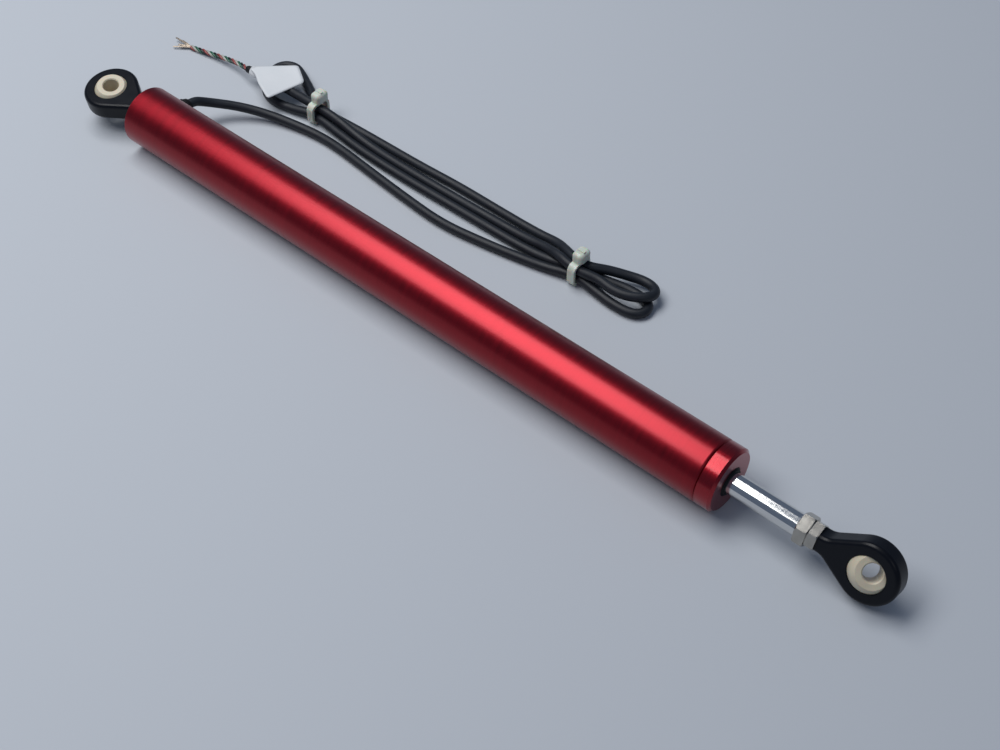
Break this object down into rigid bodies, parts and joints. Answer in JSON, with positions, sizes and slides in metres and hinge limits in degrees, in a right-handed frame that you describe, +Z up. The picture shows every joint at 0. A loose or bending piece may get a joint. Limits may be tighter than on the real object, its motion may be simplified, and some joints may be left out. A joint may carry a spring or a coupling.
{
  "type": "linear position sensor",
  "caption": "Slim red tube sensor with a sliding steel rod, a swivelling ball eye at each end and a thin folded signal cable tied beside it.",
  "frame": {"origin": "under the middle of the overall length from eye to eye with the cable left out, on the surface that the tube lies on", "axes": "+X along the tube towards the rod end, +Y towards the side where the cable leaves, +Z up"},
  "size_m": [0.308, 0.0651, 0.0191],
  "materials": {
    "red_anodised": "satin",
    "polished_steel": "polished",
    "plated_steel": "satin",
    "black_plastic": "satin",
    "cream_plastic": "satin",
    "cable_jacket": "matt",
    "black_rubber": "matt",
    "natural_nylon": "satin",
    "white_label": "matt",
    "bearing_plastic": "matt",
    "potting_resin": "matt",
    "board_green": "satin",
    "chip_black": "matt",
    "enamelled_wire": "satin",
    "probe_core": "satin",
    "wire_green": "satin",
    "wire_black": "satin",
    "wire_red": "satin",
    "wire_white": "satin",
    "bare_wire": "satin"
  },
  "bodies": {
    "housing": {"body_tube": "red_anodised", "front_cap": "red_anodised", "front_seal": "black_rubber", "rod_bearing": "bearing_plastic", "rod_wiper": "black_rubber", "end_cushion": "black_rubber", "rear_plug": "potting_resin", "rear_seal": "black_rubber", "rear_eye_stud": "plated_steel", "rear_eye": "black_plastic", "coil_mount": "potting_resin", "probe_former": "probe_core", "sensing_coil": "enamelled_wire", "probe_tip": "cream_plastic", "circuit_board": "board_green", "lead_terminal": "cream_plastic", "signal_chips": "chip_black", "board_capacitors": "plated_steel", "inner_lead": "cable_jacket", "cable_grommet": "black_rubber", "signal_cable": "cable_jacket", "cable_hank": "cable_jacket", "rear_cable_tie": "natural_nylon", "front_cable_tie": "natural_nylon", "cable_tail": "cable_jacket", "end_sleeve": "black_rubber", "wire_tag": "white_label", "wire_green": "wire_green", "wire_black": "wire_black", "wire_red": "wire_red", "wire_white": "wire_white", "wire_tips": "bare_wire"},
    "guide": {"rod_guide": "bearing_plastic"},
    "rod": {"rod": "polished_steel", "guide_clips": "plated_steel", "jam_nut": "plated_steel", "front_eye_stud": "plated_steel", "front_eye": "black_plastic"},
    "front_ball": {"front_ball": "cream_plastic"},
    "rear_ball": {"rear_ball": "cream_plastic"}
  },
  "joints": [
    {"name": "rod_slide", "type": "slide", "parent": "housing", "child": "guide", "axis": [1, 0, 0], "range_m": [-0.003, 0.103]},
    {"name": "rod_turn", "type": "hinge", "parent": "guide", "child": "rod", "pos_m": [0.05, 0, 0.00953], "axis": [1, 0, 0], "continuous": true},
    {"name": "front_ball_tilt", "type": "hinge", "parent": "rod", "child": "front_ball", "pos_m": [0.14197, 0, 0.00953], "axis": [-0.788, 0.2106, 0.5785], "range_deg": [-71, 1]},
    {"name": "rear_ball_tilt", "type": "hinge", "parent": "housing", "child": "rear_ball", "pos_m": [-0.14197, 0, 0.00953], "axis": [0, 0.9914, 0.1305], "range_deg": [-44, 28]}
  ]
}
